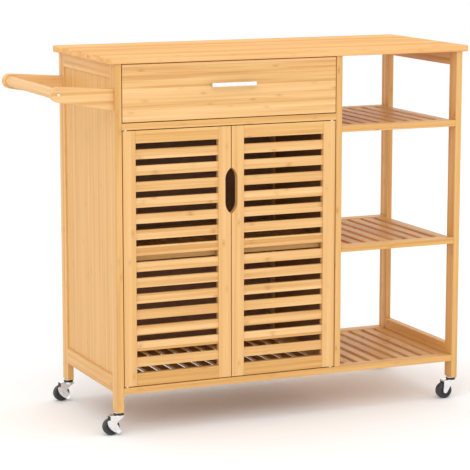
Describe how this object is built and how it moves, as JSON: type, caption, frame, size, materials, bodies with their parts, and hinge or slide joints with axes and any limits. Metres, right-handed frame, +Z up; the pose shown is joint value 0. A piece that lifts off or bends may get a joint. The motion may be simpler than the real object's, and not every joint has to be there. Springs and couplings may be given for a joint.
{
  "type": "rolling utility cart",
  "caption": "Bamboo rolling kitchen cart with a drawer, louvred cabinet doors, open slatted shelves, an end handle bar and swivel casters.",
  "frame": {"origin": "on the floor, at the centre of the overall length and depth", "axes": "+X along the length, handle end at -X; +Y from front to back; +Z up"},
  "size_m": [1.0868, 0.426, 0.9],
  "materials": {
    "bamboo_length": "satin lacquer, grain along X",
    "bamboo_upright": "satin lacquer, grain along Z",
    "bamboo_depth": "satin lacquer, grain along Y",
    "bamboo_top": "satin lacquer, grain along X",
    "fibreboard": "matt, dark brown",
    "zinc_plate": "bright zinc plate",
    "pull_metal": "satin nickel",
    "wheel_rubber": "matt black",
    "runner_steel": "zinc plated, semi-bright",
    "catch_plastic": "moulded, beige"
  },
  "bodies": {
    "frame": {"back_panel": "fibreboard", "back_rail_top": "bamboo_length", "bottom_rail_front": "bamboo_length", "bottom_rail_rear": "bamboo_length", "caster_inserts": "zinc_plate", "caster_stems": "zinc_plate", "dowels": "bamboo_length", "drawer_rail_front": "bamboo_length", "drawer_runners_outer": "runner_steel", "floor_slats": "bamboo_depth", "handle_arm_front": "bamboo_length", "handle_arm_rear": "bamboo_length", "handle_bar": "bamboo_depth", "handle_screws": "zinc_plate", "inner_shelf_rails": "bamboo_length", "inner_shelf_slats": "bamboo_depth", "magnetic_catches": "catch_plastic", "middle_shelf_rails": "bamboo_length", "middle_shelf_slats": "bamboo_depth", "partition_panel": "bamboo_upright", "partition_rails": "bamboo_depth", "post_front_left": "bamboo_upright", "post_front_middle": "bamboo_upright", "post_front_right": "bamboo_upright", "post_rear_left": "bamboo_upright", "post_rear_middle": "bamboo_upright", "post_rear_right": "bamboo_upright", "shelf_pins": "zinc_plate", "side_panel_left": "bamboo_upright", "side_rails_left": "bamboo_depth", "side_rails_right": "bamboo_depth", "upper_shelf_rails": "bamboo_length", "upper_shelf_slats": "bamboo_depth", "worktop": "bamboo_top"},
    "drawer": {"drawer_back": "bamboo_length", "drawer_bottom": "fibreboard", "drawer_front": "bamboo_length", "drawer_pull": "pull_metal", "drawer_pull_screws": "zinc_plate", "drawer_runners_inner": "runner_steel", "drawer_sides": "bamboo_depth"},
    "runner_cages": {"runner_ball_cages": "runner_steel"},
    "left_door": {"door_left_hardware": "zinc_plate", "door_left_rails": "bamboo_length", "door_left_slats": "bamboo_length", "door_left_stiles": "bamboo_upright"},
    "right_door": {"door_right_hardware": "zinc_plate", "door_right_rails": "bamboo_length", "door_right_slats": "bamboo_length", "door_right_stiles": "bamboo_upright"},
    "swivel_front_left": {"caster_fork_front_left": "zinc_plate"},
    "wheel_front_left": {"caster_wheel_front_left": "wheel_rubber"},
    "brake_front_left": {"caster_brake_front_left": "zinc_plate"},
    "swivel_front_right": {"caster_fork_front_right": "zinc_plate"},
    "wheel_front_right": {"caster_wheel_front_right": "wheel_rubber"},
    "swivel_rear_left": {"caster_fork_rear_left": "zinc_plate"},
    "wheel_rear_left": {"caster_wheel_rear_left": "wheel_rubber"},
    "brake_rear_left": {"caster_brake_rear_left": "zinc_plate"},
    "swivel_rear_right": {"caster_fork_rear_right": "zinc_plate"},
    "wheel_rear_right": {"caster_wheel_rear_right": "wheel_rubber"}
  },
  "joints": [
    {"name": "drawer_slide", "type": "slide", "parent": "frame", "child": "drawer", "axis": [0, -1, 0], "range_m": [0, 0.27]},
    {"name": "runner_cages_slide", "type": "slide", "parent": "frame", "child": "runner_cages", "axis": [0, -1, 0], "range_m": [0, 0.135]},
    {"name": "left_door_hinge", "type": "hinge", "parent": "frame", "child": "left_door", "pos_m": [-0.3656, -0.1875, 0.42225], "axis": [0, 0, -1], "range_deg": [0, 110]},
    {"name": "right_door_hinge", "type": "hinge", "parent": "frame", "child": "right_door", "pos_m": [0.1704, -0.1875, 0.42225], "axis": [0, 0, 1], "range_deg": [0, 110]},
    {"name": "swivel_front_left_turn", "type": "hinge", "parent": "frame", "child": "swivel_front_left", "pos_m": [-0.3836, -0.175, 0.0478], "axis": [0, 0, 1], "continuous": true},
    {"name": "wheel_front_left_roll", "type": "hinge", "parent": "swivel_front_left", "child": "wheel_front_left", "pos_m": [-0.4036, -0.175, 0.02], "axis": [0, 1, 0], "continuous": true},
    {"name": "brake_front_left_tip", "type": "hinge", "parent": "swivel_front_left", "child": "brake_front_left", "pos_m": [-0.4036, -0.175, 0.02], "axis": [0, 1, 0], "range_deg": [0, 12]},
    {"name": "swivel_front_right_turn", "type": "hinge", "parent": "frame", "child": "swivel_front_right", "pos_m": [0.5204, -0.175, 0.0478], "axis": [0, 0, 1], "continuous": true},
    {"name": "wheel_front_right_roll", "type": "hinge", "parent": "swivel_front_right", "child": "wheel_front_right", "pos_m": [0.5004, -0.175, 0.02], "axis": [0, 1, 0], "continuous": true},
    {"name": "swivel_rear_left_turn", "type": "hinge", "parent": "frame", "child": "swivel_rear_left", "pos_m": [-0.3836, 0.189, 0.0478], "axis": [0, 0, 1], "continuous": true},
    {"name": "wheel_rear_left_roll", "type": "hinge", "parent": "swivel_rear_left", "child": "wheel_rear_left", "pos_m": [-0.4036, 0.189, 0.02], "axis": [0, 1, 0], "continuous": true},
    {"name": "brake_rear_left_tip", "type": "hinge", "parent": "swivel_rear_left", "child": "brake_rear_left", "pos_m": [-0.4036, 0.189, 0.02], "axis": [0, 1, 0], "range_deg": [0, 12]},
    {"name": "swivel_rear_right_turn", "type": "hinge", "parent": "frame", "child": "swivel_rear_right", "pos_m": [0.5204, 0.189, 0.0478], "axis": [0, 0, 1], "continuous": true},
    {"name": "wheel_rear_right_roll", "type": "hinge", "parent": "swivel_rear_right", "child": "wheel_rear_right", "pos_m": [0.5004, 0.189, 0.02], "axis": [0, 1, 0], "continuous": true}
  ],
  "couplings": [
    {"joint": "runner_cages_slide", "follows": "drawer_slide", "ratio": 0.5}
  ]
}
